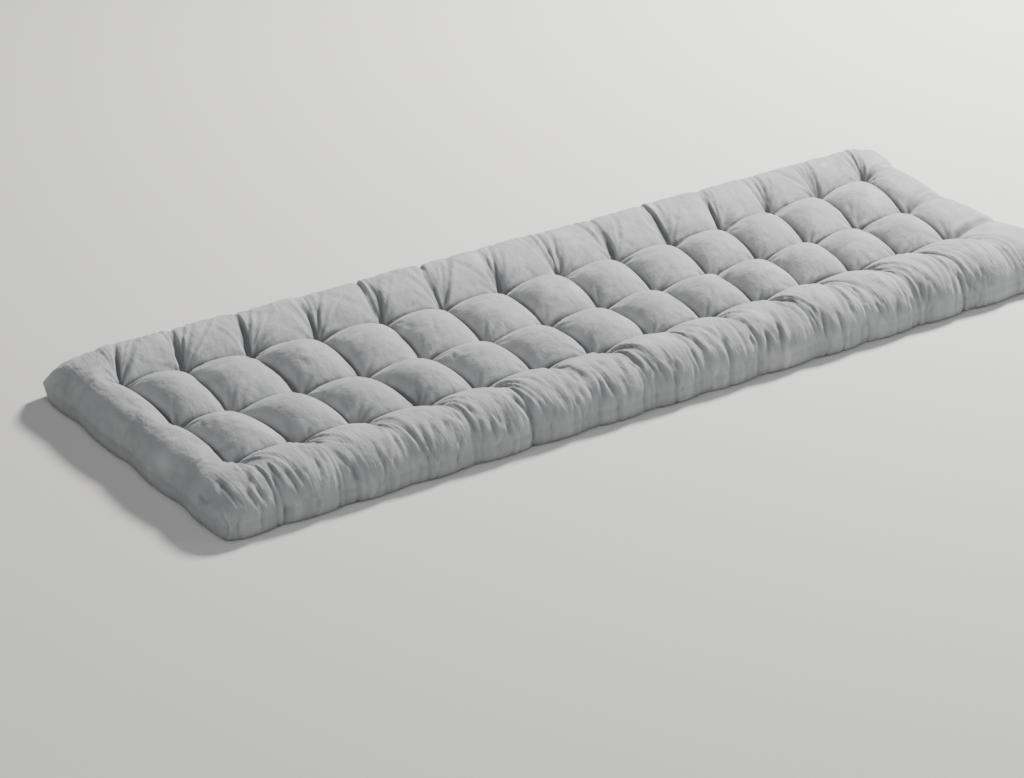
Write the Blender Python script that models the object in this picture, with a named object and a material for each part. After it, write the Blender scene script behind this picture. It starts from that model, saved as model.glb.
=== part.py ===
"""Tufted bench cushion: one filled solid lying on its back.

Metres, +Z up. X runs along the cushion, Y from its front edge to its back edge.
The origin is the middle of the outline, on the surface that the cushion lies on.
A top and an underside panel meet in a seam all round. Tufts sewn through both
panels in three rows pull them together, and the filling stands up between them.
"""

import math
import random

import bmesh
import bpy

LENGTH = 1.835
DEPTH = 0.615
CROWN_HEIGHT = 0.086
TUFTS_PER_ROW = 14
SEAM_HEIGHT = 0.025
PIT_HEIGHT_TOP = 0.036
PIT_HEIGHT_UNDER = 0.020
UNDERSIDE_REACH = 0.052
UNDERSIDE_EDGE_REACH = 0.095

# Each row of tufts: its place across the cushion at the middle, how far its ends curve back,
# how far its right end lies further back than its middle, the distance between its tufts,
# and how far its middle is from the cushion's middle.
TUFT_ROWS = (
    {"y": -0.156, "end_curve": 0.018, "slant": 0.020, "pitch": 0.1184, "shift": -0.055},
    {"y": -0.018, "end_curve": 0.038, "slant": 0.013, "pitch": 0.1221, "shift": -0.058},
    {"y": 0.135, "end_curve": 0.056, "slant": 0.002, "pitch": 0.1249, "shift": -0.035},
)
LEFT_MARGIN = 0.086

# Shape of one pillow between tufts: a higher power gives a flatter crown or a steeper side.
CROWN_POWER = 2.2
SIDE_POWER = 1.8
UNDER_CROWN_POWER = 3.0
UNDER_SIDE_POWER = 1.0

# Along each side of the cushion the pillows run together into a roll: the share of the
# valleys between them that is left on it, and how much lower it is than the other pillows.
SIDE_ROLLS = {
    "front": {"valley": 0.30, "lower": 0.000},
    "back": {"valley": 0.45, "lower": 0.003},
    "left": {"valley": 0.12, "lower": 0.010},
    "right": {"valley": 0.20, "lower": 0.016},
}
UNDERSIDE_VALLEY = 0.15

# The outline draws in where a row or column of tufts meets it, and a fold runs up from there.
SIDE_DRAW_IN = 0.009
FOLD_DEPTH = 0.006
FOLD_WIDTH = 0.1
CORNER_ROUNDING = 0.18
# The right-hand end sags inward between its two corners.
RIGHT_END_HOLLOW = 0.056

# How uneven the hand filling leaves it, each way.
UNEVEN_SEED = 14
UNEVEN_CROWN = 0.003
UNEVEN_TUFT = 0.004
UNEVEN_FOLD = 0.35

# Where mesh lines cross each pillow, as a share of its width; closer beside the tuft lines.
STEPS_ALONG = (0.0, 0.08, 0.27, 0.5, 0.73, 0.92)
STEPS_ACROSS = (0.0, 0.06, 0.18, 0.33, 0.5, 0.67, 0.82, 0.94)

COLUMNS = TUFTS_PER_ROW + 1
ROWS = len(TUFT_ROWS) + 1
FLAT_ANGLE = math.radians(0.01)
WELD = 0.00001
CLOTH_COLOUR = (0.35, 0.36, 0.365, 1.0)


def clear_scene():
    for item in list(bpy.data.objects):
        bpy.data.objects.remove(item)


def cushion_material():
    material = bpy.data.materials.new("grey_velvet_cloth")
    material.use_nodes = True
    shader = material.node_tree.nodes["Principled BSDF"]
    shader.inputs["Base Color"].default_value = CLOTH_COLOUR
    shader.inputs["Roughness"].default_value = 0.9
    shader.inputs["Metallic"].default_value = 0.0
    return material


def uneven_tables():
    """Seeded small differences: crown heights by pillow, tuft shifts, fold depths by side."""
    draw = random.Random(UNEVEN_SEED)
    crowns = [[draw.uniform(-1, 1) * UNEVEN_CROWN for _ in range(ROWS)] for _ in range(COLUMNS)]
    shifts = [[(0.0, 0.0)] * (ROWS + 1) for _ in range(COLUMNS + 1)]
    for column in range(1, COLUMNS):
        for row in range(1, ROWS):
            shifts[column][row] = (
                draw.uniform(-1, 1) * UNEVEN_TUFT,
                draw.uniform(-1, 1) * UNEVEN_TUFT,
            )
    folds = {
        side: [1 + draw.uniform(-1, 1) * UNEVEN_FOLD for _ in range(COLUMNS + 1)]
        for side in SIDE_ROLLS
    }
    return crowns, shifts, folds


CROWNS, SHIFTS, FOLDS = uneven_tables()


def knot(column, row):
    """Plan position of a tuft, or of the outline where that column or row meets it."""
    place = TUFT_ROWS[min(max(row, 1), ROWS - 1) - 1]
    x = (column - COLUMNS / 2) * place["pitch"] + place["shift"]
    x = max(x, LEFT_MARGIN - LENGTH / 2)
    along = max(-1.0, min(1.0, 2 * x / LENGTH))
    y = place["y"] + place["end_curve"] * along**2 + place["slant"] * along
    if row == 0 or row == ROWS:
        y = math.copysign(DEPTH / 2, row - 1)
    if column == 0:
        x = -LENGTH / 2
    if column == COLUMNS:
        x = LENGTH / 2 - RIGHT_END_HOLLOW * (1 - (2 * y / DEPTH) ** 2)
    shift_x, shift_y = SHIFTS[column][row]
    return x + shift_x, y + shift_y


def outward_share(share, is_first, is_last):
    """0 from the pit line to the crown, then up to 1 at the outline, for a pillow on the outline."""
    if is_first and share < 0.5:
        return 1 - 2 * share
    if is_last and share > 0.5:
        return 2 * share - 1
    return 0.0


def rolled(share, is_first, is_last):
    """The share across a pillow, moved so that its outer half rolls over in a quarter circle."""
    outward = outward_share(share, is_first, is_last)
    if not outward:
        return share
    reach = math.sin(outward * math.pi / 2) / 2
    return 0.5 - reach if is_first else 0.5 + reach


def in_pillow(value, count):
    """The pillow that a place on the grid is in, and its share across that pillow."""
    index = min(count - 1, int(value + 1e-9))
    return index, value - index


def plan_point(along, across):
    """Where a point of the flat panel lies in plan."""
    column, share_x = in_pillow(along, COLUMNS)
    row, share_y = in_pillow(across, ROWS)
    u = rolled(share_x, column == 0, column == COLUMNS - 1)
    v = rolled(share_y, row == 0, row == ROWS - 1)
    out_x = 2 * u - 1 if outward_share(share_x, column == 0, column == COLUMNS - 1) else 0.0
    out_y = 2 * v - 1 if outward_share(share_y, row == 0, row == ROWS - 1) else 0.0
    if out_x and out_y:
        u = 0.5 + out_x * math.sqrt(1 - CORNER_ROUNDING * out_y**2) / 2
        v = 0.5 + out_y * math.sqrt(1 - CORNER_ROUNDING * out_x**2) / 2
    corners = (
        (knot(column, row), (1 - u) * (1 - v)),
        (knot(column + 1, row), u * (1 - v)),
        (knot(column, row + 1), (1 - u) * v),
        (knot(column + 1, row + 1), u * v),
    )
    x = sum(point[0] * weight for point, weight in corners)
    y = sum(point[1] * weight for point, weight in corners)
    x -= math.copysign(SIDE_DRAW_IN * tuft_line(share_y, row, ROWS) * abs(out_x) ** 2, out_x)
    y -= math.copysign(SIDE_DRAW_IN * tuft_line(share_x, column, COLUMNS) * abs(out_y) ** 2, out_y)
    return x, y


def tuft_line(share, index, count):
    """1 on a line of tufts, falling off within a fold's width; 0 at the cushion's own ends."""
    nearest = min(share, 1 - share)
    on_outline = (index == 0 and share < 0.5) or (index == count - 1 and share > 0.5)
    return 0.0 if on_outline else math.exp(-((nearest / FOLD_WIDTH) ** 2))


def arch(share):
    """0 at both ends and 1 halfway."""
    return 4 * share * (1 - share)


def fold_at(along, across):
    """Depth of the folds that run from the outer tufts to the outline."""
    column, share_x = in_pillow(along, COLUMNS)
    row, share_y = in_pillow(across, ROWS)
    out_x = outward_share(share_x, column == 0, column == COLUMNS - 1)
    out_y = outward_share(share_y, row == 0, row == ROWS - 1)
    side_folds = FOLDS["front" if row == 0 else "back"]
    end_folds = FOLDS["left" if column == 0 else "right"]
    from_side = arch(out_y) * tuft_line(share_x, column, COLUMNS) * side_folds[round(along)]
    from_end = arch(out_x) * tuft_line(share_y, row, ROWS) * end_folds[round(across)]
    return FOLD_DEPTH * (from_side + from_end)


def roll_share(share, is_first, is_last):
    """0 on the outer line of tufts, rising to 1 on the crest of the roll and beyond it."""
    if is_first:
        return min(1.0, 2 * (1 - share))
    if is_last:
        return min(1.0, 2 * share)
    return 0.0


def pillow(valleys, crown_power, side_power):
    """Fullness of a pillow: 1 at its crown, 0 at the tufts on its four corners."""
    from_crown = sum(kept * far**crown_power for far, kept in valleys) / 2
    return max(0.0, 1 - from_crown) ** (1 / side_power)


def height(along, across, is_top):
    """Height of the top or the underside panel over a point of the flat panel."""
    column, share_x = in_pillow(along, COLUMNS)
    row, share_y = in_pillow(across, ROWS)
    out_x = outward_share(share_x, column == 0, column == COLUMNS - 1)
    out_y = outward_share(share_y, row == 0, row == ROWS - 1)
    far_x = 0.0 if out_x else abs(2 * share_x - 1)
    far_y = 0.0 if out_y else abs(2 * share_y - 1)
    end_roll = roll_share(share_x, column == 0, column == COLUMNS - 1)
    side_roll = roll_share(share_y, row == 0, row == ROWS - 1)
    end = SIDE_ROLLS["left" if column == 0 else "right"]
    side = SIDE_ROLLS["front" if row == 0 else "back"]
    standing = math.cos(out_x * math.pi / 2) * math.cos(out_y * math.pi / 2)
    if is_top:
        kept_x = 1 - side_roll * (1 - side["valley"])
        kept_y = 1 - end_roll * (1 - end["valley"])
        full = pillow(((far_x, kept_x), (far_y, kept_y)), CROWN_POWER, SIDE_POWER)
        lower = max(end_roll * end["lower"], side_roll * side["lower"])
        crown = CROWN_HEIGHT + CROWNS[column][row] - lower - PIT_HEIGHT_TOP
        z = PIT_HEIGHT_TOP + crown * full
        return SEAM_HEIGHT + (z - SEAM_HEIGHT) * standing - fold_at(along, across)
    kept_x = 1 - side_roll * (1 - UNDERSIDE_VALLEY)
    kept_y = 1 - end_roll * (1 - UNDERSIDE_VALLEY)
    full = pillow(((far_x, kept_x), (far_y, kept_y)), UNDER_CROWN_POWER, UNDER_SIDE_POWER)
    edge = max(end_roll, side_roll)
    reach = UNDERSIDE_REACH + (UNDERSIDE_EDGE_REACH - UNDERSIDE_REACH) * edge
    z = PIT_HEIGHT_UNDER - reach * full
    return max(0.0, SEAM_HEIGHT + (z - SEAM_HEIGHT) * standing)


def grid_lines(count, steps):
    return [index + step for index in range(count) for step in steps] + [float(count)]


def add_panel(body, is_top):
    """A flat grid from Blender, its points moved to the panel's filled shape."""
    lines_x = grid_lines(COLUMNS, STEPS_ALONG)
    lines_y = grid_lines(ROWS, STEPS_ACROSS)
    across_count = len(lines_y) - 1
    made = bmesh.ops.create_grid(
        body, x_segments=len(lines_x) - 1, y_segments=across_count, size=1.0
    )
    for point in made["verts"]:
        line_x = round((point.co.x + 1) / 2 * (len(lines_x) - 1))
        line_y = round((point.co.y + 1) / 2 * across_count)
        along, across = lines_x[line_x], lines_y[line_y]
        x, y = plan_point(along, across)
        point.co = (x, y, height(along, across, is_top))
    if not is_top:
        bmesh.ops.reverse_faces(body, faces=list({f for v in made["verts"] for f in v.link_faces}))


def centre_on_origin(body):
    """The middle of the outline comes to x = y = 0."""
    for axis in (0, 1):
        values = [point.co[axis] for point in body.verts]
        middle = (min(values) + max(values)) / 2
        for point in body.verts:
            point.co[axis] -= middle


def make_cushion(collection):
    body = bmesh.new()
    add_panel(body, is_top=True)
    add_panel(body, is_top=False)
    bmesh.ops.remove_doubles(body, verts=body.verts, dist=WELD)
    centre_on_origin(body)
    resting = [face for face in body.faces if all(v.co.z == 0.0 for v in face.verts)]
    flat_edges = list({edge for face in resting for edge in face.edges})
    flat_points = list({point for face in resting for point in face.verts})
    bmesh.ops.dissolve_limit(
        body, angle_limit=FLAT_ANGLE, use_dissolve_boundaries=False, verts=flat_points, edges=flat_edges
    )
    mesh = bpy.data.meshes.new("cushion")
    body.to_mesh(mesh)
    body.free()
    mesh.shade_smooth()
    mesh.materials.append(cushion_material())
    cushion = bpy.data.objects.new("cushion", mesh)
    collection.objects.link(cushion)
    return cushion


def main():
    clear_scene()
    collection = bpy.data.collections.new("bench_cushion")
    bpy.context.scene.collection.children.link(collection)
    make_cushion(collection)


main()
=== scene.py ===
"""Looks of the tufted bench cushion.

The cover is two panels of cloth, sewn together all round. Its filled form, with a pillow
between each four tufts, is laid out first, and a cloth simulation fills it. The folds that
fan out from the tufts and the drawn-in seam follow after that.
Metres, +Z up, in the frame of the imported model.
"""

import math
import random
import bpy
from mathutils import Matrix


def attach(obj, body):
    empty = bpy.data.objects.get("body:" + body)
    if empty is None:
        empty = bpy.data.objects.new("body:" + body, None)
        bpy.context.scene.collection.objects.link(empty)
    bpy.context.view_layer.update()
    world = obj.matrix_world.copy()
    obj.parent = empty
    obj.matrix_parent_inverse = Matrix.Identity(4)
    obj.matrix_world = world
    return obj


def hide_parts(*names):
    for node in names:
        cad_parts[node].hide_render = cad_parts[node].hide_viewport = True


bl_info = {
    "name": "Tufted Bench Cushion",
    "version": (1, 0, 0),
    "blender": (4, 5, 0),
    "location": "3D View > Sidebar > Cushion",
    "description": "Makes the cover, the tuft stitches and the studio of a tufted bench cushion",
    "category": "Object",
}

import bmesh
import bpy
import numpy as np
from mathutils import Matrix, Vector

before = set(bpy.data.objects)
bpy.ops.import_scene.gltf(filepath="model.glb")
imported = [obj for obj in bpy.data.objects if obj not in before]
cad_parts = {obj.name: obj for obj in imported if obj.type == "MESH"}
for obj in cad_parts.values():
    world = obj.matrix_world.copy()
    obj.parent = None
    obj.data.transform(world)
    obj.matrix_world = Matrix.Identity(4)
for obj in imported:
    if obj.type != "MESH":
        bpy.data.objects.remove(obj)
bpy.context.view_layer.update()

BODY = "root"
NODE = "cushion"

# Each row of tufts: its place across the cushion at the middle, how far its ends curve back,
# how far its right end lies further back than its middle, the distance between its tufts,
# and how far its middle is from the cushion's middle.
TUFT_ROWS = (
    {"y": -0.156, "end_curve": 0.018, "slant": 0.020, "pitch": 0.1184, "shift": -0.055},
    {"y": -0.018, "end_curve": 0.038, "slant": 0.013, "pitch": 0.1221, "shift": -0.058},
    {"y": 0.135, "end_curve": 0.056, "slant": 0.002, "pitch": 0.1249, "shift": -0.035},
)
# Along each side the pillows run together into a roll: the share of the valleys between
# them that is left on it, how much narrower they are, and how much lower the roll is than
# the other pillows.
SIDE_ROLLS = {
    "front": {"valley": 0.13, "narrow": 1.5, "lower": 0.000},
    "back": {"valley": 0.12, "narrow": 4.0, "lower": 0.001},
    "left": {"valley": 0.10, "narrow": 0.0, "lower": 0.010},
    "right": {"valley": 0.20, "narrow": 1.0, "lower": 0.016},
}
TUFTS_PER_ROW = 14
COLUMNS = TUFTS_PER_ROW + 1
ROWS = len(TUFT_ROWS) + 1
LEFT_MARGIN = 0.086
RIGHT_END_HOLLOW = 0.056
# How far along the cushion the creases from the outer tufts lean until they meet the edge.
EDGE_LEAN = {0: 0.010, ROWS: 0.044}
SIDE_DRAW_IN = 0.006
DRAW_IN_WIDTH = 0.22
CORNER_ROUNDING = 0.18
PILLOW_ROUNDING = 2.0
PILLOW_STEEPNESS = 1.5
CREASE_HEIGHT = 0.24
CREASE_ROUNDING = 1.2
UNDER_CROWN_POWER = 3.0
UNDERSIDE_REACH = 0.052
UNDERSIDE_EDGE_REACH = 0.095
UNDERSIDE_VALLEY = 0.15
UNEVEN_SEED = 14
UNEVEN_CROWN = 0.003
UNEVEN_TUFT = 0.004

# Flat cloth: from an edge to a roll's crest, on to the first tuft, and from tuft to tuft.
CLOTH_ALONG = (0.095, 0.070, 0.130)
CLOTH_ACROSS = (0.095, 0.085, 0.160)
CREASE_CLOSENESS = 0.35
# Mesh steps beside the seam where the underside keeps every line, and steps between its
# lines further in.
FINE_STRIP = 8
COARSE_STEPS = 6
TINY = 1e-9

# The simulation holds the tufts, the bottoms of the creases and the underside where it lies.
TUFT_RADIUS = 0.005
TUFT_STEPS = (0.122, 0.145)
CREASE_HOLD = 0.03
LYING_HEIGHT = 0.0001
MOVE_LIMIT = 0.012

# Section of a fold: its flat and its steep side and the low shoulder beside it, all as
# shares of the fold's own width, and how round its bottom is.
FOLD_FLAT_SIDE = 1.9
FOLD_STEEP_SIDE = 0.75
FOLD_ROOM = 8
SHOULDER_OFF = 2.6
SHOULDER_WIDTH = 1.6
SHOULDER_HEIGHT = 0.4
CREASE_RADIUS = 0.0012
FOLD_LIMIT = 0.0082
FAN_LENGTH = 0.045
FADE_BELOW = 0.05
SEAM_GROOVE = 0.0005

# Kinds of folds over the flat cloth. A pair is a range that each fold draws its own value
# from. A fold comes in over its start and goes over the last share of its length, the fade.
# It moves sideways by its spread, or by a chance amount with the deviation called scatter.
MIDDLE_FOLD = {
    "length": 0.24, "deep": (0.00184, 0.00506), "wide": 0.0022,
    "spread": (-0.006, 0.006), "start": 0.01, "fade": 0.05,
}
FAN_FOLD = {
    "length": (0.06, 0.16), "full_length": 0.20, "deep": (0.0010, 0.0054),
    "wide": (0.0016, 0.0036), "scatter": 0.016, "start": (0.01, 0.07), "fade": (0.3, 0.8),
}
PLEAT = {
    "length": (0.02, 0.10), "deep": (0.0006, 0.0026), "wide": (0.0020, 0.0038),
    "spread": 0.0, "start": (0.004, 0.03), "fade": 0.6,
}
END_FOLD = {
    "length": (0.08, 0.24), "deep": (0.0012, 0.0040), "wide": (0.003, 0.006),
    "scatter": 0.018, "start": 0.03, "fade": 0.3,
}
DENT = {
    "length": (0.035, 0.080), "deep": (0.0010, 0.0046), "wide": (0.0018, 0.0036),
    "spread": (-0.010, 0.010), "start": 0.012, "fade": 0.7,
}
STRAY_DENT = {
    "length": (0.015, 0.045), "deep": (0.0008, 0.0036), "wide": (0.0016, 0.0030),
    "spread": 0.0, "start": 0.010, "fade": 0.7,
}

# Where the folds are, and how many.
TO_RIGHT, TO_BACK, TO_LEFT, TO_FRONT = 0.0, math.pi / 2, math.pi, -math.pi / 2
FOLD_SEED = 27
FANS = (
    {"row": 1, "heading": TO_FRONT, "folds": 14, "middle": 0.5, "turn": 0.20},
    {"row": ROWS - 1, "heading": TO_BACK, "folds": 10, "middle": 0.7, "turn": 0.26},
)
PLEATED_SIDES = (
    {"row": 0, "heading": TO_FRONT, "inward": 1, "pleats": 24, "strength": 1.9},
    {"row": ROWS, "heading": TO_BACK, "inward": -1, "pleats": 14, "strength": 1.3},
)
PLEAT_PLACE = (0.01, 0.12)
PLEAT_TURN = 0.35
FOLDED_ENDS = (
    {"column": 1, "heading": TO_LEFT, "strength": 0.25},
    {"column": COLUMNS - 1, "heading": TO_RIGHT, "strength": 0.8},
)
FOLDS_PER_END = 5
DENTS_PER_TUFT = 13
STRAYS_PER_TUFT = 6
STRAY_REACH = (0.06, 0.07)
LUMPS = 900
LUMP_HEIGHT = 0.0008
LUMP_WIDTH = (0.006, 0.026)
LUMP_ROOM = 3

# Painted shade in the cloth's colour inside creases, folds and along the seam, the height that
# gets a full painted highlight, and what counts as gathered.
CREASE_SHADE = 1.4
CREASE_SHADE_ALONG = 0.06
CREASE_SHADE_ACROSS = 0.05
ROLL_SHADE_LOSS = 0.8
FOLD_SHADE = 0.7
FOLD_SHADE_DEPTH = 0.0045
SEAM_SHADE = 0.15
RIDGE_HIGHLIGHT_HEIGHT = 0.0014
END_GATHERS = 0.6

# A tuft stitch: a strand's ends and middle as shares of its length, and chance turns.
STRAND_START = (-0.5, 0.0, -0.12)
STRAND_MIDDLE = (0.0, 0.0, 0.30)
STRAND_END = (0.5, 0.0, -0.12)
STRAND_STEPS = 8
STRAND_CROSSING = math.radians(80)
STRAND_LIFT = (0.0, 0.0, 0.6)
THREAD_SIDES = 6
STITCH_CHANCE = (0.12, 0.12, 1.2)
# Points of the cover looked at round a tuft, and the share of its height that parts them.
POINTS_AT_TUFT = 40
PART_HEIGHT = 0.32

# The studio, and the camera at the photo's angle.
FLOOR_SIZE = 8.0
FLOOR_GAP = 0.0006
FLOOR_COLOUR = (0.74, 0.735, 0.72, 1.0)
SKY_COLOUR = (0.93, 0.96, 1.0, 1.0)
SKY_STRENGTH = 0.13
COOL = (0.92, 0.96, 1.0)
LIGHTS = {
    "key_light": {"place": (2.8, 1.1, 2.5), "size": 0.7, "power": 365, "tint": (1.0, 0.985, 0.96)},
    "top_light": {"place": (-1.0, -0.2, 3.2), "size": 2.5, "power": 22, "tint": (1.0, 0.99, 0.98)},
    "fill_light": {"place": (2.2, -2.3, 1.5), "size": 1.2, "power": 20, "tint": COOL},
    "side_light": {"place": (-2.7, -1.6, 1.3), "size": 1.5, "power": 8, "tint": COOL},
}
CAMERA_AZIMUTH = math.radians(-35.7)
CAMERA_ELEVATION = math.radians(26.1)
CAMERA_ROLL = math.radians(0.9)
CAMERA_DISTANCE = 4.985
CAMERA_TARGET = (-0.246, -0.107, 0.0)
CAMERA_LENS = 104.66
CAMERA_SENSOR = 36.0


class CushionSizes(bpy.types.PropertyGroup):
    """Sizes of the cushion's form, and how its cloth is filled."""

    length: bpy.props.FloatProperty(
        name="Length", description="From end to end", default=1.835, unit="LENGTH"
    )
    depth: bpy.props.FloatProperty(
        name="Depth", description="From front edge to back edge", default=0.615, unit="LENGTH"
    )
    crown: bpy.props.FloatProperty(
        name="Crown height", description="Height of a pillow's crown", default=0.084, unit="LENGTH"
    )
    pit_top: bpy.props.FloatProperty(
        name="Tuft height", description="Height of the top panel at a tuft", default=0.036,
        unit="LENGTH",
    )
    pit_under: bpy.props.FloatProperty(
        name="Tuft height below", description="Height of the underside at a tuft", default=0.020,
        unit="LENGTH",
    )
    seam: bpy.props.FloatProperty(
        name="Seam height", description="Height of the seam round the edge", default=0.025,
        unit="LENGTH",
    )
    stitch: bpy.props.FloatProperty(
        name="Stitch length", description="Length of one strand of a tuft stitch", default=0.009,
        unit="LENGTH",
    )
    thread: bpy.props.FloatProperty(
        name="Thread", description="Thickness of the tuft thread", default=0.0012, unit="LENGTH"
    )
    spare_cloth: bpy.props.FloatProperty(
        name="Spare cloth", description="Share of cloth beyond that of the laid-out form",
        default=0.0, subtype="FACTOR",
    )
    pressure: bpy.props.FloatProperty(
        name="Filling", description="Pressure of the filling on the cloth", default=20.0
    )
    frames: bpy.props.IntProperty(
        name="Settling frames", description="Frames in which the cloth settles", default=8
    )
    steps_along: bpy.props.IntProperty(
        name="Steps along", description="Mesh steps along one pillow", default=36
    )
    steps_across: bpy.props.IntProperty(
        name="Steps across", description="Mesh steps across one pillow", default=36
    )
    edge_steps: bpy.props.IntProperty(
        name="Edge steps", description="Mesh steps from a roll's crest to the seam", default=16
    )


def colour(name, description, default):
    return bpy.props.FloatVectorProperty(
        name=name, description=description, default=default, size=4, subtype="COLOR", min=0, max=1
    )


class CushionColours(bpy.types.PropertyGroup):
    """Colours of the cloth and its thread."""

    brushed: colour(
        "Brushed nap", "Cloth whose nap lies towards the light", (0.480, 0.484, 0.486, 1)
    )
    shaded: colour(
        "Shaded nap", "Cloth whose nap lies away from the light", (0.385, 0.390, 0.396, 1)
    )
    pile: colour("Pile", "Fine specks between the fibres", (0.270, 0.276, 0.284, 1))
    # Painted shade: a dark colour laid into creases, folds and along the seam.
    tucked: colour("Painted shade", "Painted shade in creases, folds and along the seam", (0.110, 0.116, 0.125, 1))
    # Painted highlight: a light colour laid along the ridges beside folds.
    raised: colour("Painted highlight", "Painted highlight along the ridges beside folds", (0.640, 0.644, 0.648, 1))
    thread: colour("Thread", "Thread of the tufts", (0.300, 0.306, 0.314, 1))


def sizes():
    return bpy.context.scene.cushion_sizes


def colours():
    return bpy.context.scene.cushion_colours


def uneven_tables():
    """Seeded small differences, drawn in the same order as for the solid."""
    draw = random.Random(UNEVEN_SEED)
    crowns = [[draw.uniform(-1, 1) * UNEVEN_CROWN for _ in range(ROWS)] for _ in range(COLUMNS)]
    shifts = np.zeros((COLUMNS + 1, ROWS + 1, 2))
    for column in range(1, COLUMNS):
        for row in range(1, ROWS):
            shifts[column, row] = [draw.uniform(-1, 1) * UNEVEN_TUFT for _ in range(2)]
    return np.array(crowns), shifts


def knots():
    """Plan position of each tuft, and of the outline where its columns and rows meet it."""
    half_length = sizes().length / 2
    half_depth = sizes().depth / 2
    _, places = uneven_tables()
    for column in range(COLUMNS + 1):
        for row in range(ROWS + 1):
            place = TUFT_ROWS[min(max(row, 1), ROWS - 1) - 1]
            x = (column - COLUMNS / 2) * place["pitch"] + place["shift"]
            x = max(x, LEFT_MARGIN - half_length)
            along = max(-1.0, min(1.0, x / half_length))
            y = place["y"] + place["end_curve"] * along**2 + place["slant"] * along
            if row == 0 or row == ROWS:
                y = math.copysign(half_depth, row - 1)
            x += EDGE_LEAN.get(row, 0.0)
            if column == 0:
                x = -half_length
            if column == COLUMNS:
                x = half_length - RIGHT_END_HOLLOW * (1 - (y / half_depth) ** 2)
            places[column, row] += (x, y)
    return places


class PanelAxis:
    """Where points of a panel are along one of its axes, counted in pillows."""

    def __init__(self, place, count):
        self.index = np.minimum(count - 1, np.floor(place + TINY).astype(int))
        self.share = place - self.index
        self.off_line = abs(place - place.round())
        self.first = self.index == 0
        self.last = self.index == count - 1
        out_first = self.first & (self.share < 0.5)
        out_last = self.last & (self.share > 0.5)
        self.outward = np.where(
            out_first, 1 - 2 * self.share, np.where(out_last, 2 * self.share - 1, 0.0)
        )
        self.far = np.where(self.outward > 0, 0.0, abs(2 * self.share - 1))
        to_first = np.where(self.first, np.minimum(1.0, 2 * (1 - self.share)), 0.0)
        self.roll = np.where(self.last, np.minimum(1.0, 2 * self.share), to_first)
        reach = np.sin(self.outward * math.pi / 2) / 2
        standing_out = np.where(self.first, 0.5 - reach, 0.5 + reach)
        self.rolled = np.where(self.outward > 0, standing_out, self.share)
        self.out = np.where(self.outward > 0, 2 * self.rolled - 1, 0.0)

    def tuft_line(self):
        """1 on a line of tufts, falling off beside it, and 0 at the cushion's own ends."""
        nearest = np.minimum(self.share, 1 - self.share)
        return np.where(self.outward > 0, 0.0, np.exp(-((nearest / DRAW_IN_WIDTH) ** 2)))

    def of_side(self, first, last):
        return np.where(self.first, first, last)


def plan(x_axis, y_axis):
    """Plan position of points of the panels, drawn in where tuft lines meet the outline."""
    both = (x_axis.out != 0) & (y_axis.out != 0)
    corner_u = 0.5 + x_axis.out * np.sqrt(1 - CORNER_ROUNDING * y_axis.out**2) / 2
    corner_v = 0.5 + y_axis.out * np.sqrt(1 - CORNER_ROUNDING * x_axis.out**2) / 2
    u = np.where(both, corner_u, x_axis.rolled)
    v = np.where(both, corner_v, y_axis.rolled)
    places = knots()
    column, row = x_axis.index, y_axis.index
    flat = sum(
        places[column + next_x, row + next_y] * (weight_x * weight_y)[:, None]
        for next_x, weight_x in ((0, 1 - u), (1, u))
        for next_y, weight_y in ((0, 1 - v), (1, v))
    )
    flat[:, 0] -= SIDE_DRAW_IN * y_axis.tuft_line() * x_axis.out * abs(x_axis.out)
    flat[:, 1] -= SIDE_DRAW_IN * x_axis.tuft_line() * y_axis.out * abs(y_axis.out)
    return flat


def filled_height(x_axis, y_axis, is_top):
    """Height of the filled form over points of the panels."""
    size = sizes()
    crowns, _ = uneven_tables()
    standing = np.cos(x_axis.outward * math.pi / 2) * np.cos(y_axis.outward * math.pi / 2)
    front, back, left, right = (SIDE_ROLLS[side] for side in ("front", "back", "left", "right"))
    kept_x = 1 - y_axis.roll * (1 - y_axis.of_side(front["valley"], back["valley"]))
    kept_y = 1 - x_axis.roll * (1 - x_axis.of_side(left["valley"], right["valley"]))
    narrow_x = y_axis.roll * y_axis.of_side(front["narrow"], back["narrow"])
    narrow_y = x_axis.roll * x_axis.of_side(left["narrow"], right["narrow"])
    cut_x = kept_x * x_axis.far ** (PILLOW_ROUNDING + narrow_x)
    cut_y = kept_y * y_axis.far ** (PILLOW_ROUNDING + narrow_y)
    dome = np.maximum(0.0, (1 - cut_x) * (1 - cut_y)) ** (1 / PILLOW_STEEPNESS)
    valley = CREASE_HEIGHT * (1 - (cut_x * cut_y) ** CREASE_ROUNDING)
    full = valley + (1 - valley) * dome
    lower = np.maximum(
        x_axis.roll * x_axis.of_side(left["lower"], right["lower"]),
        y_axis.roll * y_axis.of_side(front["lower"], back["lower"]),
    )
    crown = size.crown + crowns[x_axis.index, y_axis.index] - lower - size.pit_top
    top = size.seam + (size.pit_top + crown * full - size.seam) * standing
    kept_x = 1 - y_axis.roll * (1 - UNDERSIDE_VALLEY)
    kept_y = 1 - x_axis.roll * (1 - UNDERSIDE_VALLEY)
    hollow = kept_x * x_axis.far**UNDER_CROWN_POWER + kept_y * y_axis.far**UNDER_CROWN_POWER
    edge = np.maximum(x_axis.roll, y_axis.roll)
    reach = UNDERSIDE_REACH + (UNDERSIDE_EDGE_REACH - UNDERSIDE_REACH) * edge
    under = size.seam + (size.pit_under - reach * (1 - hollow / 2) - size.seam) * standing
    return np.where(is_top, top, np.maximum(0.0, under))


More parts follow.
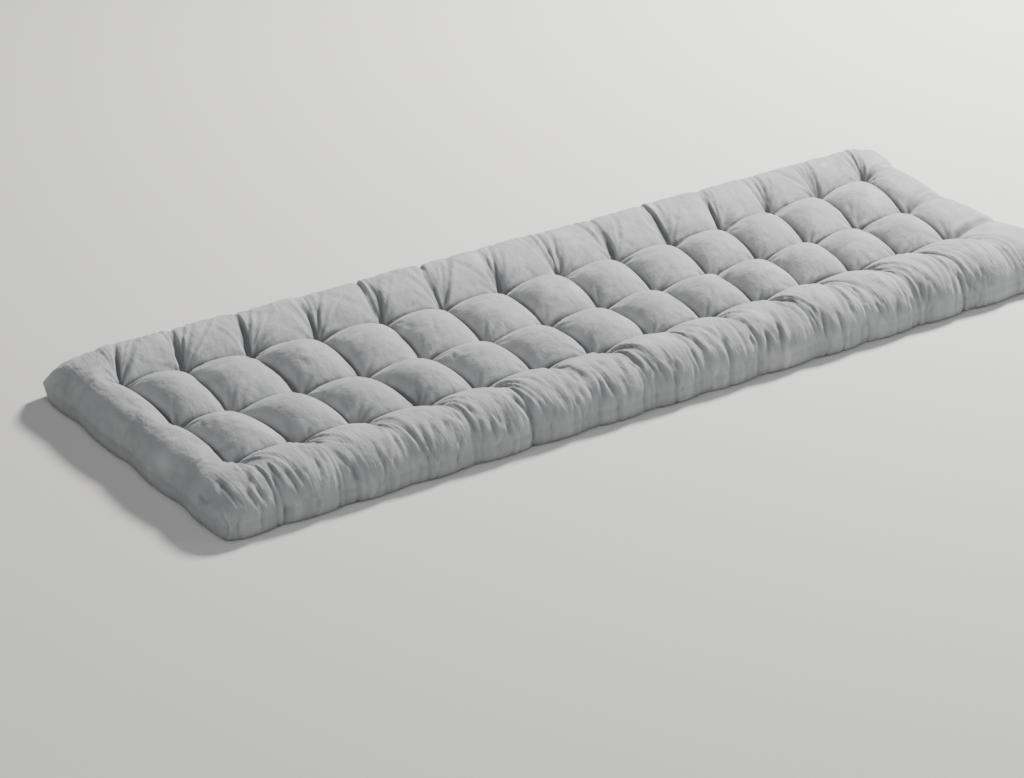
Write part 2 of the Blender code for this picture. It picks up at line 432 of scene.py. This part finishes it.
def panel_lines(pillows, steps, edge_steps):
    """Places of the mesh's lines over a panel, counted in pillows and closest at the creases."""
    inner = np.arange(steps) / steps
    inner = inner - CREASE_CLOSENESS * np.sin(2 * math.pi * inner) / (2 * math.pi)
    parts = [np.linspace(0, 0.5, edge_steps, endpoint=False), inner[steps // 2:]]
    parts += [inner + pillow for pillow in range(1, pillows - 1)]
    parts += [pillows - 1 + inner[: steps // 2], pillows - 1 + np.linspace(0.5, 1, edge_steps + 1)]
    return np.concatenate(parts)


def cloth_metres(place, marks, count):
    """Places counted in pillows as metres over the flat cloth."""
    edge, inner, pillow = marks
    metres = np.cumsum([0, edge, inner, pillow * (count - 2), inner, edge])
    return np.interp(place, [0, 0.5, 1, count - 1, count - 0.5, count], metres)


def on_cloth(column, row):
    return np.array(
        [cloth_metres(column, CLOTH_ALONG, COLUMNS), cloth_metres(row, CLOTH_ACROSS, ROWS)]
    )


class Wrinkles:
    """Folds of the cloth, as a depth on the mesh's lines; the order of draws sets their look."""

    def __init__(self, lines_x, lines_y):
        self.lines = (lines_x, lines_y)
        self.depth = np.zeros((len(lines_x), len(lines_y)))
        self.draw = random.Random(FOLD_SEED)

    def window(self, low, high):
        """The part of the mesh between two corners, and its places."""
        spans = [
            slice(*np.searchsorted(line, (low[axis], high[axis])))
            for axis, line in enumerate(self.lines)
        ]
        return tuple(spans), self.lines[0][spans[0], None], self.lines[1][None, spans[1]]

    def drawn(self, value):
        """The value itself, or one that is drawn from it where it is a range."""
        return self.draw.uniform(*value) if isinstance(value, tuple) else value

    def fold(self, origin, heading, kind, strength=1.0):
        """A crease from origin; it moves sideways by spread and then runs along its heading."""
        length = self.drawn(kind["length"])
        if "full_length" in kind:
            length = self.draw.choice((kind["full_length"], length))
        deep = self.drawn(kind["deep"]) * strength
        wide = self.drawn(kind["wide"])
        if "scatter" in kind:
            spread = self.draw.gauss(0, kind["scatter"])
        else:
            spread = self.drawn(kind["spread"])
        start = self.drawn(kind["start"])
        fade = self.drawn(kind["fade"])
        lean = self.draw.choice((-1, 1))

        ahead = np.array([math.cos(heading), math.sin(heading)])
        ends = np.array([origin, origin + ahead * length])
        room = abs(spread) + FOLD_ROOM * wide
        part, x, y = self.window(ends.min(0) - room, ends.max(0) + room)
        x, y = x - origin[0], y - origin[1]
        along = x * ahead[0] + y * ahead[1]
        path = spread * (1 - np.exp(-np.maximum(along, 0) / FAN_LENGTH))
        off = y * ahead[0] - x * ahead[1] - path
        reach = np.clip(along / start, 0, 1) * np.clip((length - along) / (fade * length), 0, 1)
        reach = reach * reach * (3 - 2 * reach)
        side = np.where(off * lean > 0, wide * FOLD_FLAT_SIDE, wide * FOLD_STEEP_SIDE)
        crease = np.exp(-np.sqrt(off**2 + CREASE_RADIUS**2) / side)
        beside = (off - lean * wide * SHOULDER_OFF) / (wide * SHOULDER_WIDTH)
        shoulder = SHOULDER_HEIGHT * np.exp(-(beside**2))
        self.depth[part] += deep * reach * (crease - shoulder)

    def lump(self, centre, high, wide):
        part, x, y = self.window(centre - LUMP_ROOM * wide, centre + LUMP_ROOM * wide)
        off = (x - centre[0]) ** 2 + (y - centre[1]) ** 2
        self.depth[part] -= high * np.exp(-off / wide**2)


def cloth_folds(lines_x, lines_y):
    """Depth of the cloth's folds: fans, pleats, folds at the ends, dents at tufts, and lumps."""
    wrinkles = Wrinkles(lines_x, lines_y)
    draw = wrinkles.draw
    for column in range(1, COLUMNS):
        for fan in FANS:
            origin = on_cloth(column, fan["row"])
            wrinkles.fold(origin, fan["heading"], MIDDLE_FOLD, fan["middle"])
            for _ in range(fan["folds"]):
                wrinkles.fold(origin, fan["heading"] + draw.gauss(0, fan["turn"]), FAN_FOLD)
    for column in range(COLUMNS):
        for side in PLEATED_SIDES:
            for _ in range(side["pleats"]):
                place = on_cloth(column + draw.uniform(0, 1), side["row"])
                place[1] += draw.uniform(*PLEAT_PLACE) * side["inward"]
                heading = side["heading"] + draw.gauss(0, PLEAT_TURN)
                wrinkles.fold(place, heading, PLEAT, side["strength"])
    for row in range(1, ROWS):
        for end in FOLDED_ENDS:
            origin = on_cloth(end["column"], row)
            for _ in range(FOLDS_PER_END):
                wrinkles.fold(origin, end["heading"], END_FOLD, end["strength"])
    for column in range(1, COLUMNS):
        for row in range(1, ROWS):
            origin = on_cloth(column, row)
            for _ in range(DENTS_PER_TUFT):
                wrinkles.fold(origin, draw.uniform(-math.pi, math.pi), DENT)
            for _ in range(STRAYS_PER_TUFT):
                place = origin + [draw.uniform(-reach, reach) for reach in STRAY_REACH]
                wrinkles.fold(place, draw.uniform(-math.pi, math.pi), STRAY_DENT)
    for _ in range(LUMPS):
        centre = np.array([draw.uniform(0, line[-1]) for line in wrinkles.lines])
        wrinkles.lump(centre, draw.gauss(0, LUMP_HEIGHT), draw.uniform(*LUMP_WIDTH))
    return FOLD_LIMIT * np.tanh(wrinkles.depth / FOLD_LIMIT)


def coarse_lines(count, first_tuft):
    """The lines that the flat middle of the underside keeps; every tuft is on one."""
    inside = range(FINE_STRIP + 1, count - FINE_STRIP)
    kept = [line for line in inside if (line - first_tuft) % COARSE_STEPS == 0]
    return [FINE_STRIP, *kept, count - FINE_STRIP]


def sewn_panels(count_x, count_y, xs, ys):
    """Two panels sewn along their edges: the mesh, each point's lines and panel, the soft faces.

    The underside has all lines near the seam, and only the lines xs and ys where it lies flat.
    """
    line_x, line_y = np.meshgrid(np.arange(count_x + 1), np.arange(count_y + 1), indexing="ij")
    top = line_x * (count_y + 1) + line_y
    on_seam = (line_x % count_x == 0) | (line_y % count_y == 0)
    under = np.where(on_seam, top, top + top.size)

    def cells(grid):
        return np.stack([grid[:-1, :-1], grid[1:, :-1], grid[1:, 1:], grid[:-1, 1:]], axis=-1)

    near_seam = np.ones((count_x, count_y), bool)
    near_seam[FINE_STRIP:-FINE_STRIP, FINE_STRIP:-FINE_STRIP] = False
    faces = cells(top).reshape(-1, 4).tolist() + cells(under)[near_seam][:, ::-1].tolist()
    soft_corners = len(faces) * 4
    for left, right in zip(xs, xs[1:]):
        for front, back in zip(ys, ys[1:]):
            edge = [(x, front) for x in (range(left, right) if front == ys[0] else (left,))]
            edge += [(right, y) for y in (range(front, back) if right == xs[-1] else (front,))]
            edge += [(x, back) for x in (range(right, left, -1) if back == ys[-1] else (right,))]
            edge += [(left, y) for y in (range(back, front, -1) if left == xs[0] else (back,))]
            faces.append([int(under[place]) for place in reversed(edge)])
    used, numbers = np.unique(np.concatenate(faces), return_inverse=True)
    ends = np.cumsum([len(face) for face in faces])[:-1]
    side, place = np.divmod(used, top.size)
    steps = np.column_stack([place // (count_y + 1), place % (count_y + 1)])
    mesh = bpy.data.meshes.new("cushion_cover")
    loops = [part.tolist() for part in np.split(numbers, ends)]
    mesh.from_pydata(np.zeros((len(used), 3)), [], loops)
    return mesh, steps, side == 0, numbers[:soft_corners].reshape(-1, 4)


def read_points(mesh):
    points = np.empty(len(mesh.vertices) * 3)
    mesh.vertices.foreach_get("co", points)
    return points.reshape(-1, 3)


def write_points(mesh, points):
    points[:, 2] = np.maximum(points[:, 2], 0.0)
    mesh.vertices.foreach_set("co", points.ravel())
    mesh.update()


def read_normals(mesh):
    normals = np.empty(len(mesh.vertices) * 3)
    mesh.vertices.foreach_get("normal", normals)
    return normals.reshape(-1, 3)


def flat_cut(points, steps, is_top, counts):
    """The cloth as it was cut: mean lengths between the mesh's lines over the top panel."""
    top = np.full((counts[0] + 1, counts[1] + 1, 3), np.nan)
    top[steps[is_top, 0], steps[is_top, 1]] = points[is_top]
    cut = []
    for axis in (0, 1):
        lengths = np.linalg.norm(np.diff(top, axis=axis), axis=2)
        mean = np.nanmean(lengths, axis=1 - axis) * (1 + sizes().spare_cloth)
        cut.append(np.concatenate([[0.0], np.cumsum(mean)]))
    return np.column_stack([cut[0][steps[:, 0]], cut[1][steps[:, 1]], np.zeros(len(points))])


def settle(points, cut, faces, held):
    """Fills the cloth with pressure, with held points fixed, and returns where it settles."""
    size = sizes()
    mesh = bpy.data.meshes.new("settling_cloth")
    mesh.from_pydata(points, [], faces)
    cloth = bpy.data.objects.new("settling_cloth", mesh)
    bpy.context.scene.collection.objects.link(cloth)
    cloth.shape_key_add(name="Basis")
    key = cloth.shape_key_add(name="cut flat")
    key.data.foreach_set("co", cut.ravel())
    key.value = 0.0
    group = cloth.vertex_groups.new(name="held")
    group.add(np.flatnonzero(held).tolist(), 1.0, "REPLACE")
    modifier = cloth.modifiers.new("filling", "CLOTH")
    feel = modifier.settings
    feel.quality = 3
    feel.mass = 0.1
    feel.air_damping = 2.0
    feel.tension_stiffness = 10.0
    feel.compression_stiffness = 10.0
    feel.shear_stiffness = 3.0
    feel.bending_stiffness = 3.0
    feel.effector_weights.gravity = 0.0
    feel.use_pressure = True
    feel.uniform_pressure_force = size.pressure
    feel.vertex_group_mass = group.name
    feel.rest_shape_key = key
    modifier.collision_settings.use_collision = False
    modifier.point_cache.frame_start = 1
    modifier.point_cache.frame_end = size.frames + 1
    scene = bpy.context.scene
    for step in range(1, size.frames + 1):
        scene.frame_set(step)
    settled = read_points(cloth.evaluated_get(bpy.context.evaluated_depsgraph_get()).to_mesh())
    scene.frame_set(1)
    bpy.data.objects.remove(cloth)
    bpy.data.meshes.remove(mesh)
    return settled


def held_points(points, steps, counts, is_top, x_axis, y_axis):
    """Points that the simulation holds: tufts, creases, and the underside where it lies."""
    inner = is_top & (x_axis.outward == 0) & (y_axis.outward == 0)
    off_tuft = np.hypot(x_axis.off_line * TUFT_STEPS[0], y_axis.off_line * TUFT_STEPS[1])
    in_crease = np.maximum(x_axis.far, y_axis.far) > 1 - CREASE_HOLD
    from_seam = np.minimum(steps, np.array(counts) - steps).min(axis=1)
    lying = (points[:, 2] <= LYING_HEIGHT) | (from_seam >= FINE_STRIP)
    return (inner & ((off_tuft < TUFT_RADIUS) | in_crease)) | (~is_top & lying)


def filled_points(points, cut, soft_faces, held):
    """The points with the soft part moved to where it settles, no further than the limit."""
    soft = np.unique(soft_faces)
    number = np.zeros(len(points), int)
    number[soft] = np.arange(len(soft))
    move = np.zeros_like(points)
    move[soft] = settle(points[soft], cut[soft], number[soft_faces], held[soft]) - points[soft]
    far = np.linalg.norm(move, axis=1)
    return points + move * np.minimum(1.0, MOVE_LIMIT / np.maximum(far, TINY))[:, None]


def cloth_marks(x_axis, y_axis, is_top, depth, on_seam):
    """What the cloth's material reads at each point, from 0 to 1: painted shade, a painted
    highlight, and how gathered it is.
    """
    # Painted shade along the creases between pillows, less of it on the rolls.
    line_x = np.exp(-((1 - x_axis.far) / CREASE_SHADE_ALONG) ** 2)
    line_x = line_x * (1 - ROLL_SHADE_LOSS * y_axis.roll)
    line_y = np.exp(-((1 - y_axis.far) / CREASE_SHADE_ACROSS) ** 2) * (1 - x_axis.roll)
    inner = is_top & (x_axis.outward == 0) & (y_axis.outward == 0)
    shade_in_creases = CREASE_SHADE * inner * np.maximum(line_x, line_y)
    # Painted shade: a darker colour in folds by their depth, in the creases and along the seam.
    tucked = FOLD_SHADE * np.clip(depth / FOLD_SHADE_DEPTH, 0, 1) + shade_in_creases + on_seam * SEAM_SHADE
    return {
        "tucked": np.clip(tucked, 0, 1),
        # Painted highlight: cloth raised beside a fold gets a lighter colour.
        "raised": np.clip(-depth / RIDGE_HIGHLIGHT_HEIGHT, 0, 1),
        "gathered": np.maximum(y_axis.roll, END_GATHERS * x_axis.roll * x_axis.last),
    }


def laid_out_cover():
    """The cover's mesh, filled by the simulation and then folded."""
    size = sizes()
    lines = (
        panel_lines(COLUMNS, size.steps_along, size.edge_steps),
        panel_lines(ROWS, size.steps_across, size.edge_steps),
    )
    counts = [len(line) - 1 for line in lines]
    mesh, steps, is_top, soft_faces = sewn_panels(
        *counts,
        coarse_lines(counts[0], size.edge_steps + size.steps_along // 2),
        coarse_lines(counts[1], size.edge_steps + size.steps_across // 2),
    )
    x_axis = PanelAxis(lines[0][steps[:, 0]], COLUMNS)
    y_axis = PanelAxis(lines[1][steps[:, 1]], ROWS)
    points = np.column_stack([plan(x_axis, y_axis), filled_height(x_axis, y_axis, is_top)])
    middle = (points.min(0) + points.max(0)) / 2
    points[:, :2] -= middle[:2]
    write_points(mesh, points)
    cut = flat_cut(points, steps, is_top, counts)
    held = held_points(points, steps, counts, is_top, x_axis, y_axis)
    points = filled_points(points, cut, soft_faces, held)
    write_points(mesh, points)

    cloth_lines = (
        cloth_metres(lines[0], CLOTH_ALONG, COLUMNS),
        cloth_metres(lines[1], CLOTH_ACROSS, ROWS),
    )
    cloth = np.column_stack([cloth_lines[axis][steps[:, axis]] for axis in (0, 1)])
    from_seam = np.minimum(cloth, cloth.max(axis=0) - cloth).min(axis=1)
    on_seam = from_seam <= 0.0
    depth = cloth_folds(*cloth_lines)[steps[:, 0], steps[:, 1]]
    depth *= np.where(is_top, 1.0, np.clip(1 - from_seam / FADE_BELOW, 0, 1))
    points = points - read_normals(mesh) * (depth + SEAM_GROOVE * on_seam)[:, None]
    write_points(mesh, points)

    corners = np.empty(len(mesh.loops), int)
    mesh.loops.foreach_get("vertex_index", corners)
    mesh.uv_layers.new(name="cloth").data.foreach_set("uv", cloth[corners].ravel())
    for name, values in cloth_marks(x_axis, y_axis, is_top, depth, on_seam).items():
        mesh.attributes.new(name, "FLOAT", "POINT").data.foreach_set("value", values)
    mesh.shade_smooth()
    return mesh


class Sum:
    """A value in a node tree that takes plain arithmetic: each operation is one Math node."""

    def __init__(self, tree, socket):
        self.tree = tree
        self.socket = socket

    def math(self, operation, other, swapped=False):
        node = self.tree.nodes.new("ShaderNodeMath")
        node.operation = operation
        for place, value in enumerate((other, self) if swapped else (self, other)):
            if isinstance(value, Sum):
                self.tree.links.new(value.socket, node.inputs[place])
            else:
                node.inputs[place].default_value = value
        return Sum(self.tree, node.outputs[0])

    def __add__(self, other):
        return self.math("ADD", other)

    def __mul__(self, other):
        return self.math("MULTIPLY", other)

    def __sub__(self, other):
        return self.math("SUBTRACT", other)

    def __rsub__(self, other):
        return self.math("SUBTRACT", other, swapped=True)

    __radd__ = __add__
    __rmul__ = __mul__


class Nodes:
    """Makes the nodes of a tree, each from its type, settings, and values or links of inputs."""

    def __init__(self, tree):
        self.tree = tree

    def node(self, kind, output=0, settings=None, **inputs):
        made = self.tree.nodes.new(kind)
        for name, value in (settings or {}).items():
            setattr(made, name, value)
        for name, value in inputs.items():
            self.put(made, name.replace("_", " "), value)
        return Sum(self.tree, made.outputs[output]) if made.outputs else None

    def put(self, node, name, value):
        """Sets or links an input. A list goes to the inputs of that name, or all into one."""
        sockets = [socket for socket in node.inputs if socket.name == name and socket.enabled]
        for place, item in enumerate(value if isinstance(value, list) else [value]):
            socket = sockets[min(place, len(sockets) - 1)]
            if isinstance(item, Sum):
                self.tree.links.new(item.socket, socket)
            else:
                socket.default_value = item


class Shader(Nodes):
    """A new material and the nodes that its surface repeats."""

    def __init__(self, name):
        self.material = bpy.data.materials.new(name)
        self.material.use_nodes = True
        super().__init__(self.material.node_tree)
        self.surface = self.tree.nodes["Principled BSDF"]

    def mark(self, name):
        """One of the values that the mesh holds at its points."""
        return self.node("ShaderNodeAttribute", "Fac", {"attribute_name": name})

    def mix(self, factor, first, second):
        return self.node(
            "ShaderNodeMix", 2, {"data_type": "RGBA"}, Factor=factor, A=first, B=second
        )

    def noise(self, where, scale, detail, roughness=0.55, distortion=0.0):
        """Noise; three scales stretch it over the flat cloth."""
        if isinstance(scale, tuple):
            where, scale = self.node("ShaderNodeMapping", Vector=where, Scale=scale), 1.0
        return self.node(
            "ShaderNodeTexNoise", Vector=where, Scale=scale, Detail=detail,
            Roughness=roughness, Distortion=distortion,
        )

    def bump(self, height, strength, distance, **under):
        return self.node(
            "ShaderNodeBump", Strength=strength, Distance=distance, Height=height, **under
        )

    def creases(self, noise, sharpness):
        """Creases where the noise passes its middle, as a height from -1 to 0."""
        away = (noise * 2.0 - 1.0).math("ABSOLUTE", 0.0)
        return (1.0 - away * sharpness).math("MAXIMUM", 0.0) * -1.0


def cloth_material():
    """Short brushed nap that catches light in patches, over finely gathered cloth, with painted
    shade in its creases and folds and a painted highlight on its ridges.
    """
    tone = colours()
    cloth = Shader("grey_velvet_cloth")
    uv = cloth.node("ShaderNodeUVMap", settings={"uv_map": "cloth"})
    nap = cloth.noise(uv, scale=(60.0, 38.0, 1.0), detail=4.0)
    patches = cloth.noise(uv, scale=22.0, detail=3.0)
    pile = cloth.noise(uv, scale=1400.0, detail=2.0, roughness=0.7)
    rumples = cloth.noise(uv, scale=36.0, detail=3.0, roughness=0.5)
    gathers = cloth.noise(
        uv, scale=(85.0, 12.0, 1.0), detail=2.0, roughness=0.5, distortion=0.3
    )
    light = cloth.node(
        "ShaderNodeMapRange", Value=nap * 0.6 + patches * 0.4, From_Min=0.35, From_Max=0.65
    )
    brushed = cloth.mix(light, tuple(tone.shaded), tuple(tone.brushed))
    speckled = cloth.mix(pile * 0.20, brushed, tuple(tone.pile))
    # Painted highlight: the light colour mixed in along the ridges beside folds.
    highlighted = cloth.mix(cloth.mark("raised") * 0.45, speckled, tuple(tone.raised))
    # Painted shade: the dark colour mixed in where folds, creases and the seam lie.
    folded = cloth.mix(cloth.mark("tucked") * 0.75, highlighted, tuple(tone.tucked))
    cloth.put(cloth.surface, "Base Color", folded)
    cloth.put(cloth.surface, "Roughness", 0.80 + nap * 0.18)
    pleats = cloth.creases(gathers, sharpness=3.5) * cloth.mark("gathered") * 0.15
    soft = cloth.bump(pleats + rumples * 1.5, strength=0.8, distance=0.0030)
    fine = cloth.bump(pile * 0.5 + nap * 0.9, strength=0.5, distance=0.0005, Normal=soft)
    cloth.put(cloth.surface, "Normal", fine)
    surface = cloth.surface.inputs
    surface["Sheen Weight"].default_value = 0.30
    surface["Sheen Roughness"].default_value = 0.45
    surface["Sheen Tint"].default_value = (0.88, 0.90, 0.92, 1.0)
    surface["Specular IOR Level"].default_value = 0.25
    return cloth.material


def thread_material():
    """Twisted thread, a little darker than the cloth."""
    tone = tuple(colours().thread)
    shade = tuple(0.6 * part for part in tone[:3]) + (1.0,)
    thread = Shader("grey_thread")
    where = thread.node("ShaderNodeTexCoord", "Object")
    strands = thread.noise(where, scale=900.0, detail=2.0)
    thread.put(thread.surface, "Base Color", thread.mix(strands, shade, tone))
    thread.put(thread.surface, "Roughness", 0.70 + strands * 0.15)
    twist = thread.bump(strands, strength=0.6, distance=0.0002)
    thread.put(thread.surface, "Normal", twist)
    return thread.material


def link_piece(name, mesh, material):
    piece = bpy.data.objects.new(name, mesh)
    bpy.context.scene.collection.objects.link(piece)
    mesh.materials.append(material)
    return piece


class CUSHION_OT_cover(bpy.types.Operator):
    """Makes the padded cover with its pillows, folds and seam"""

    bl_idname = "cushion.cover"
    bl_label = "Cushion Cover"

    def execute(self, context):
        cover = link_piece("cushion_cover", laid_out_cover(), cloth_material())
        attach(cover, BODY)
        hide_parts(NODE)
        return {"FINISHED"}


def outline_middle():
    """Middle of the laid-out form, which the cover's mesh has moved to the origin."""
    size = sizes()
    line_x = panel_lines(COLUMNS, size.steps_along, size.edge_steps)
    line_y = panel_lines(ROWS, size.steps_across, size.edge_steps)
    place_x, place_y = (part.ravel() for part in np.meshgrid(line_x, line_y, indexing="ij"))
    flat = plan(PanelAxis(place_x, COLUMNS), PanelAxis(place_y, ROWS))
    return (flat.min(0) + flat.max(0)) / 2


def tuft_points():
    """A point on the cloth at each tuft, above and below, and the turn that faces it outwards."""
    points = read_points(bpy.data.objects["cushion_cover"].data)
    parted = (points[:, 2].min() + points[:, 2].max()) * PART_HEIGHT
    found = []
    for place in knots()[1:COLUMNS, 1:ROWS].reshape(-1, 2) - outline_middle():
        order = np.argsort(((points[:, :2] - place) ** 2).sum(axis=1))
        near = points[order[:POINTS_AT_TUFT]]
        for is_top in (True, False):
            side = near[(near[:, 2] > parted) == is_top]
            if len(side):
                found.append(((*place, side[0, 2]), (0.0 if is_top else math.pi, 0.0, 0.0)))
    return found


def stitch_tree(material):
    """Geometry nodes: two crossed strands of thread on each point, turned a little by chance."""
    tree = bpy.data.node_groups.new("Tuft Stitches", "GeometryNodeTree")
    tree.interface.new_socket("Geometry", in_out="OUTPUT", socket_type="NodeSocketGeometry")
    kinds = {"Points": "Geometry", "Length": "Float", "Thickness": "Float", "Seed": "Int"}
    for name, kind in kinds.items():
        tree.interface.new_socket(name, in_out="INPUT", socket_type="NodeSocket" + kind)
    stitch = Nodes(tree)
    points, length, thickness, seed = (stitch.node("NodeGroupInput", name) for name in kinds)

    def times(value, direction):
        scaled = {"operation": "SCALE"}
        return stitch.node("ShaderNodeVectorMath", 0, scaled, Vector=direction, Scale=value)

    strand = stitch.node(
        "GeometryNodeCurveQuadraticBezier", Resolution=STRAND_STEPS,
        Start=times(length, STRAND_START), Middle=times(length, STRAND_MIDDLE),
        End=times(length, STRAND_END),
    )
    ring = stitch.node(
        "GeometryNodeCurvePrimitiveCircle", Resolution=THREAD_SIDES, Radius=thickness * 0.5
    )
    tube = stitch.node(
        "GeometryNodeCurveToMesh", Curve=strand, Profile_Curve=ring, Fill_Caps=True
    )
    crossed = stitch.node(
        "GeometryNodeTransform", Geometry=tube, Rotation=(0.0, 0.0, STRAND_CROSSING),
        Translation=times(thickness, STRAND_LIFT),
    )
    pair = stitch.node("GeometryNodeJoinGeometry", Geometry=[tube, crossed])
    vector = {"data_type": "FLOAT_VECTOR"}
    chance = stitch.node(
        "FunctionNodeRandomValue", 0, vector, Min=tuple(-part for part in STITCH_CHANCE),
        Max=STITCH_CHANCE, Seed=seed,
    )
    facing = stitch.node("GeometryNodeInputNamedAttribute", 0, vector, Name="facing")
    turn = stitch.node("ShaderNodeVectorMath", 0, {"operation": "ADD"}, Vector=[chance, facing])
    placed = stitch.node(
        "GeometryNodeInstanceOnPoints", Points=points, Instance=pair,
        Rotation=stitch.node("FunctionNodeEulerToRotation", Euler=turn),
    )
    real = stitch.node("GeometryNodeRealizeInstances", Geometry=placed)
    dyed = stitch.node("GeometryNodeSetMaterial", Geometry=real, Material=material)
    stitch.node("NodeGroupOutput", Geometry=dyed)
    return tree


class CUSHION_OT_stitches(bpy.types.Operator):
    """Makes the crossed thread that ties each tuft, on the top and on the underside"""

    bl_idname = "cushion.stitches"
    bl_label = "Tuft Stitches"

    def execute(self, context):
        found = tuft_points()
        mesh = bpy.data.meshes.new("tuft_stitches")
        mesh.from_pydata([place for place, _ in found], [], [])
        facing = mesh.attributes.new("facing", "FLOAT_VECTOR", "POINT")
        facing.data.foreach_set("vector", np.array([turn for _, turn in found]).ravel())
        material = thread_material()
        tree = stitch_tree(material)
        stitches = bpy.data.objects.new("tuft_stitches", mesh)
        context.scene.collection.objects.link(stitches)
        modifier = stitches.modifiers.new("stitches", "NODES")
        modifier.node_group = tree
        values = {"Length": sizes().stitch, "Thickness": sizes().thread, "Seed": UNEVEN_SEED}
        for socket in tree.interface.items_tree:
            if socket.in_out == "INPUT" and socket.name in values:
                modifier[socket.identifier] = values[socket.name]
        context.view_layer.update()
        evaluated = stitches.evaluated_get(context.evaluated_depsgraph_get())
        made = bpy.data.meshes.new_from_object(evaluated)
        stitches.modifiers.clear()
        stitches.data = made
        made.materials.clear()
        made.materials.append(material)
        made.polygons.foreach_set("material_index", [0] * len(made.polygons))
        made.shade_smooth()
        if len(made.polygons) == 0:
            raise RuntimeError("the tuft stitches came out empty")
        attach(stitches, BODY)
        return {"FINISHED"}


def area_light(name, place, size, power, tint):
    data = bpy.data.lights.new(name, "AREA")
    data.shape = "DISK"
    data.size = size
    data.energy = power
    data.color = tint
    light = bpy.data.objects.new(name, data)
    light.location = place
    light.rotation_euler = Vector(place).to_track_quat("Z", "Y").to_euler()
    bpy.context.scene.collection.objects.link(light)


def photo_camera():
    """The camera at the photo's angle: back is the direction from the cushion to it."""
    back = Vector((
        math.sin(CAMERA_AZIMUTH) * math.cos(CAMERA_ELEVATION),
        -math.cos(CAMERA_AZIMUTH) * math.cos(CAMERA_ELEVATION),
        math.sin(CAMERA_ELEVATION),
    ))
    level = Vector((0, 0, 1)).cross(back).normalized()
    upright = back.cross(level)
    right = level * math.cos(CAMERA_ROLL) + upright * math.sin(CAMERA_ROLL)
    up = upright * math.cos(CAMERA_ROLL) - level * math.sin(CAMERA_ROLL)
    data = bpy.data.cameras.new("photo_camera")
    data.sensor_fit = "HORIZONTAL"
    data.sensor_width = CAMERA_SENSOR
    data.lens = CAMERA_LENS
    camera = bpy.data.objects.new("photo_camera", data)
    turned = Matrix((right, up, back)).transposed().to_4x4()
    place = Vector(CAMERA_TARGET) + back * CAMERA_DISTANCE
    camera.matrix_world = Matrix.Translation(place) @ turned
    bpy.context.scene.collection.objects.link(camera)
    bpy.context.scene.camera = camera


class CUSHION_OT_stage(bpy.types.Operator):
    """Makes the pale floor, the soft lights and the camera"""

    bl_idname = "cushion.stage"
    bl_label = "Studio"

    def execute(self, context):
        mesh = bpy.data.meshes.new("studio_floor")
        body = bmesh.new()
        below = Matrix.Translation((0, 0, -FLOOR_GAP))
        bmesh.ops.create_grid(body, x_segments=1, y_segments=1, size=FLOOR_SIZE, matrix=below)
        body.to_mesh(mesh)
        body.free()
        paint = Shader("pale_floor")
        paint.surface.inputs["Base Color"].default_value = FLOOR_COLOUR
        paint.surface.inputs["Roughness"].default_value = 0.8
        link_piece("studio_floor", mesh, paint.material)
        for name, light in LIGHTS.items():
            area_light(name, **light)
        world = bpy.data.worlds.new("studio")
        world.use_nodes = True
        sky = world.node_tree.nodes["Background"].inputs
        sky["Color"].default_value = SKY_COLOUR
        sky["Strength"].default_value = SKY_STRENGTH
        context.scene.world = world
        photo_camera()
        return {"FINISHED"}


class CUSHION_PT_tools(bpy.types.Panel):
    """Lists the cushion's operators, sizes and colours"""

    bl_idname = "CUSHION_PT_tools"
    bl_label = "Tufted Cushion"
    bl_space_type = "VIEW_3D"
    bl_region_type = "UI"
    bl_category = "Cushion"

    def draw(self, context):
        for operator in (CUSHION_OT_cover, CUSHION_OT_stitches, CUSHION_OT_stage):
            self.layout.operator(operator.bl_idname)
        for group in (context.scene.cushion_sizes, context.scene.cushion_colours):
            for name in group.__annotations__:
                self.layout.prop(group, name)


CLASSES = (
    CushionSizes, CushionColours, CUSHION_OT_cover, CUSHION_OT_stitches, CUSHION_OT_stage,
    CUSHION_PT_tools,
)


def register():
    for item in CLASSES:
        bpy.utils.register_class(item)
    bpy.types.Scene.cushion_sizes = bpy.props.PointerProperty(type=CushionSizes)
    bpy.types.Scene.cushion_colours = bpy.props.PointerProperty(type=CushionColours)


def unregister():
    del bpy.types.Scene.cushion_sizes
    del bpy.types.Scene.cushion_colours
    for item in reversed(CLASSES):
        bpy.utils.unregister_class(item)


def main():
    register()
    bpy.ops.cushion.cover()
    bpy.ops.cushion.stitches()
    bpy.ops.cushion.stage()


if __name__ == "__main__":
    main()
